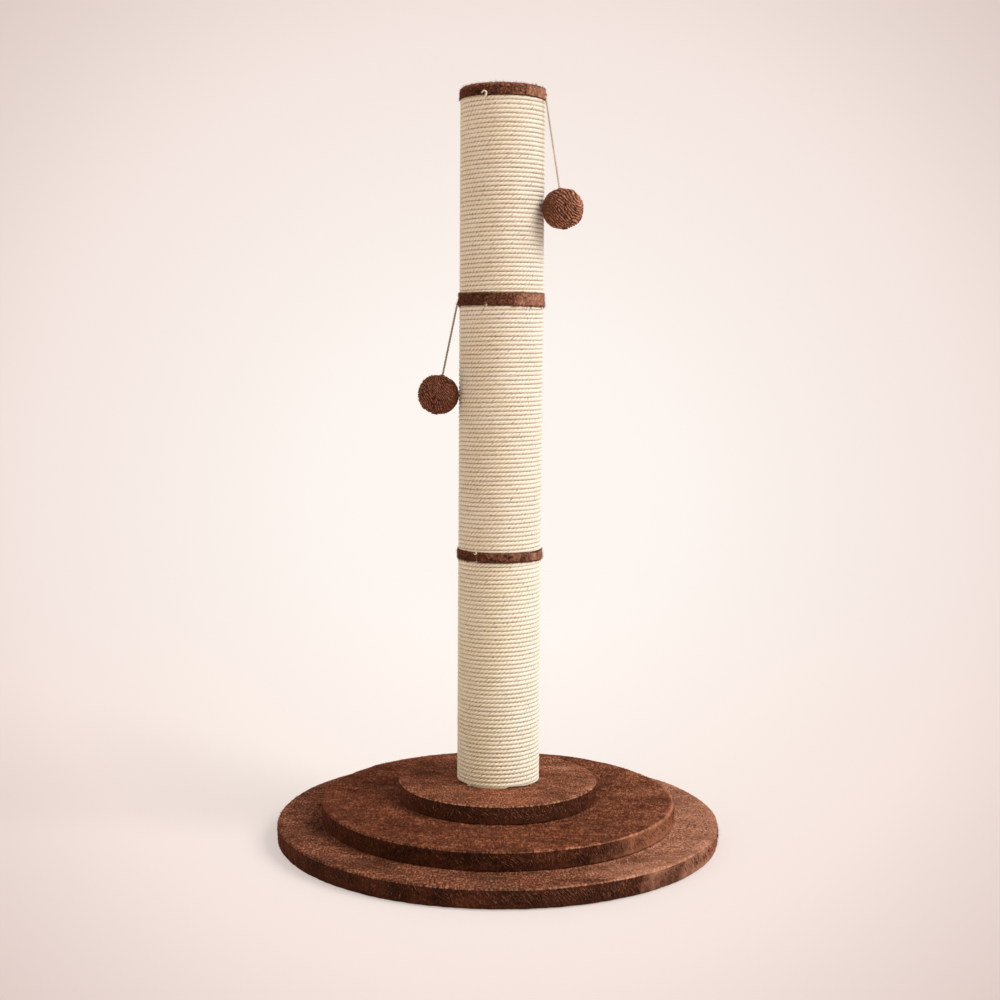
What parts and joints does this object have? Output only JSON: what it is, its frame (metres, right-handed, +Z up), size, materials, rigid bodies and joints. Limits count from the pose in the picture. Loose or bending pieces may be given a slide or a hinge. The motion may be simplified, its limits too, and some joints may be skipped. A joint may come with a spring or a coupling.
{
  "type": "cat scratching post",
  "caption": "Free-standing round scratching post wound with sisal rope on a stepped plush base, with plush bands, a plush cap and balls that swing on cords.",
  "frame": {"origin": "centre of the base's underside, on the floor", "axes": "+Z up along the post, -Y towards the picture's camera, +X to its right"},
  "size_m": [0.481, 0.481, 0.8068],
  "materials": {
    "plush": "short brown plush pile",
    "sisal": "natural twisted sisal rope",
    "cord": "thin twisted grey-beige cord",
    "cardboard": "spiral-wound paper tube",
    "board": "raw particle board",
    "backing": "black non-woven sheet",
    "stuffing": "pressed fibre filling",
    "steel": "zinc-plated"
  },
  "bodies": {
    "root": {"lower_cover": "plush", "middle_cover": "plush", "upper_cover": "plush", "lower_band": "plush", "upper_band": "plush", "cap_cover": "plush", "lower_board": "board", "middle_board": "board", "upper_board": "board", "cap_board": "board", "lower_bottom_plug": "board", "lower_top_plug": "board", "middle_bottom_plug": "board", "middle_top_plug": "board", "upper_bottom_plug": "board", "upper_top_plug": "board", "base_backing": "backing", "base_washer": "steel", "base_bolt": "steel", "lower_screw_1": "steel", "lower_screw_2": "steel", "lower_screw_3": "steel", "lower_screw_4": "steel", "upper_screw_1": "steel", "upper_screw_2": "steel", "upper_screw_3": "steel", "lower_stud": "steel", "upper_stud": "steel", "cap_screw_1": "steel", "cap_screw_2": "steel", "lower_bottom_insert": "steel", "lower_top_insert": "steel", "middle_bottom_insert": "steel", "middle_top_insert": "steel", "upper_bottom_insert": "steel", "lower_tube": "cardboard", "middle_tube": "cardboard", "upper_tube": "cardboard", "lower_winding": "sisal", "middle_winding": "sisal", "upper_winding": "sisal", "upper_cord_anchor": "cord", "lower_cord_anchor": "cord"},
    "upper_toy_pivot": {"upper_cord_knot": "cord"},
    "upper_toy_cord": {"upper_cord": "cord", "upper_end_knot": "cord"},
    "upper_toy_ball": {"upper_ball_core": "stuffing", "upper_ball_cover": "plush"},
    "lower_toy_pivot": {"lower_cord_knot": "cord"},
    "lower_toy_cord": {"lower_cord": "cord", "lower_end_knot": "cord"},
    "lower_toy_ball": {"lower_ball_core": "stuffing", "lower_ball_cover": "plush"}
  },
  "joints": [
    {"name": "upper_toy_swing_out", "type": "hinge", "parent": "root", "child": "upper_toy_pivot", "pos_m": [0.04501, -0.0155, 0.7951], "axis": [-0.3256, -0.9455, 0], "range_deg": [0, 80]},
    {"name": "upper_toy_swing_side", "type": "hinge", "parent": "upper_toy_pivot", "child": "upper_toy_cord", "pos_m": [0.04501, -0.0155, 0.7951], "axis": [0.9322, -0.321, 0.167], "range_deg": [-80, 80]},
    {"name": "upper_ball_spin", "type": "hinge", "parent": "upper_toy_cord", "child": "upper_toy_ball", "pos_m": [0.06344, -0.02185, 0.67994], "axis": [-0.1579, 0.0544, 0.986], "continuous": true},
    {"name": "lower_toy_swing_out", "type": "hinge", "parent": "root", "child": "lower_toy_pivot", "pos_m": [-0.04714, -0.00662, 0.5798], "axis": [-0.1392, 0.9903, 0], "range_deg": [0, 80]},
    {"name": "lower_toy_swing_side", "type": "hinge", "parent": "lower_toy_pivot", "child": "lower_toy_cord", "pos_m": [-0.04714, -0.00662, 0.5798], "axis": [-0.9704, -0.1364, 0.1994], "range_deg": [-80, 80]},
    {"name": "lower_ball_spin", "type": "hinge", "parent": "lower_toy_cord", "child": "lower_toy_ball", "pos_m": [-0.06645, -0.00934, 0.48396], "axis": [0.1974, 0.0277, 0.9799], "continuous": true}
  ]
}
